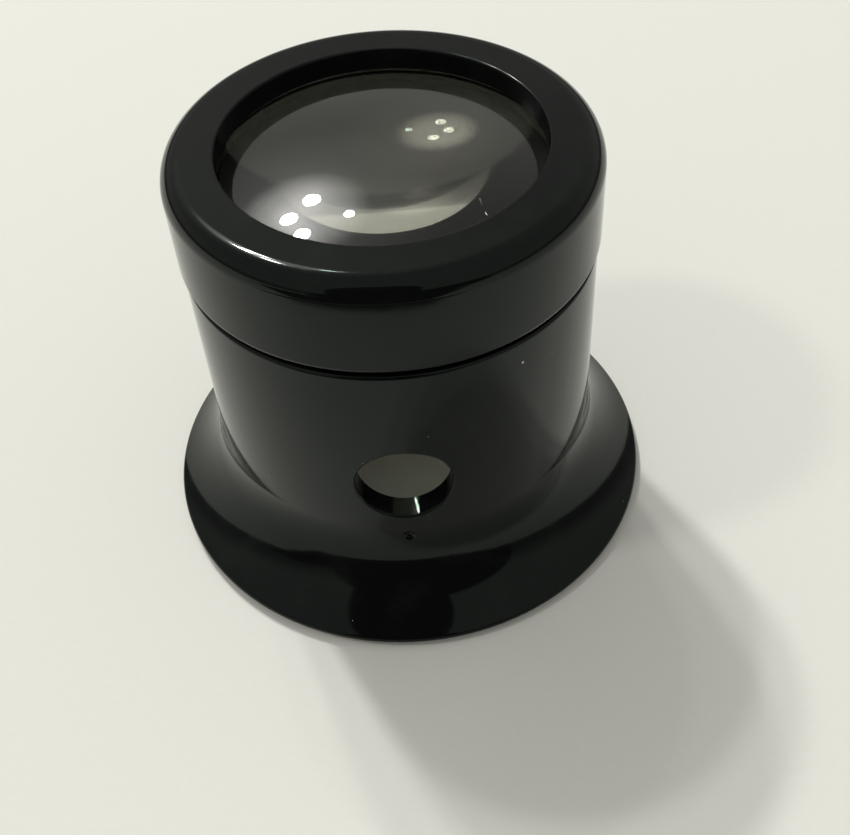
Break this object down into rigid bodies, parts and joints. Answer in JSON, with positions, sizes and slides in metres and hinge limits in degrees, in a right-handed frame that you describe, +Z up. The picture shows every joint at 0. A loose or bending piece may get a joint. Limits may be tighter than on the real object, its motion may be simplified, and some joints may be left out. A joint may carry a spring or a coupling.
{
  "type": "jewelers loupe",
  "caption": "Eye loupe: a flared black eye cup with a vent hole, and a screw-on cap that holds a thick biconvex magnifying lens.",
  "frame": {"origin": "centre of the base, on the surface that the rim stands on", "axes": "+Z up along the optical axis, from the eye side to the lens; -Y points to the vent hole"},
  "size_m": [0.037, 0.037, 0.03],
  "materials": {
    "cup_plastic": "polished black injection-moulded plastic",
    "cap_plastic": "polished black injection-moulded plastic",
    "lens_glass": "clear polished glass with a ground edge",
    "ring_plastic": "matt black moulded plastic"
  },
  "bodies": {
    "cup": {"eye_cup": "cup_plastic"},
    "lens_cell": {"lens": "lens_glass", "lens_retaining_ring": "ring_plastic"},
    "cap": {"lens_cap": "cap_plastic"}
  },
  "joints": [
    {"name": "cap_rise", "type": "slide", "parent": "cup", "child": "lens_cell", "axis": [0, 0, 1], "range_m": [0, 0.003]},
    {"name": "cap_turn", "type": "hinge", "parent": "lens_cell", "child": "cap", "pos_m": [0, 0, 0.0265], "axis": [0, 0, 1], "range_deg": [0, 720]}
  ],
  "couplings": [
    {"joint": "cap_rise", "follows": "cap_turn", "m_per_rad": 0.00023873}
  ]
}
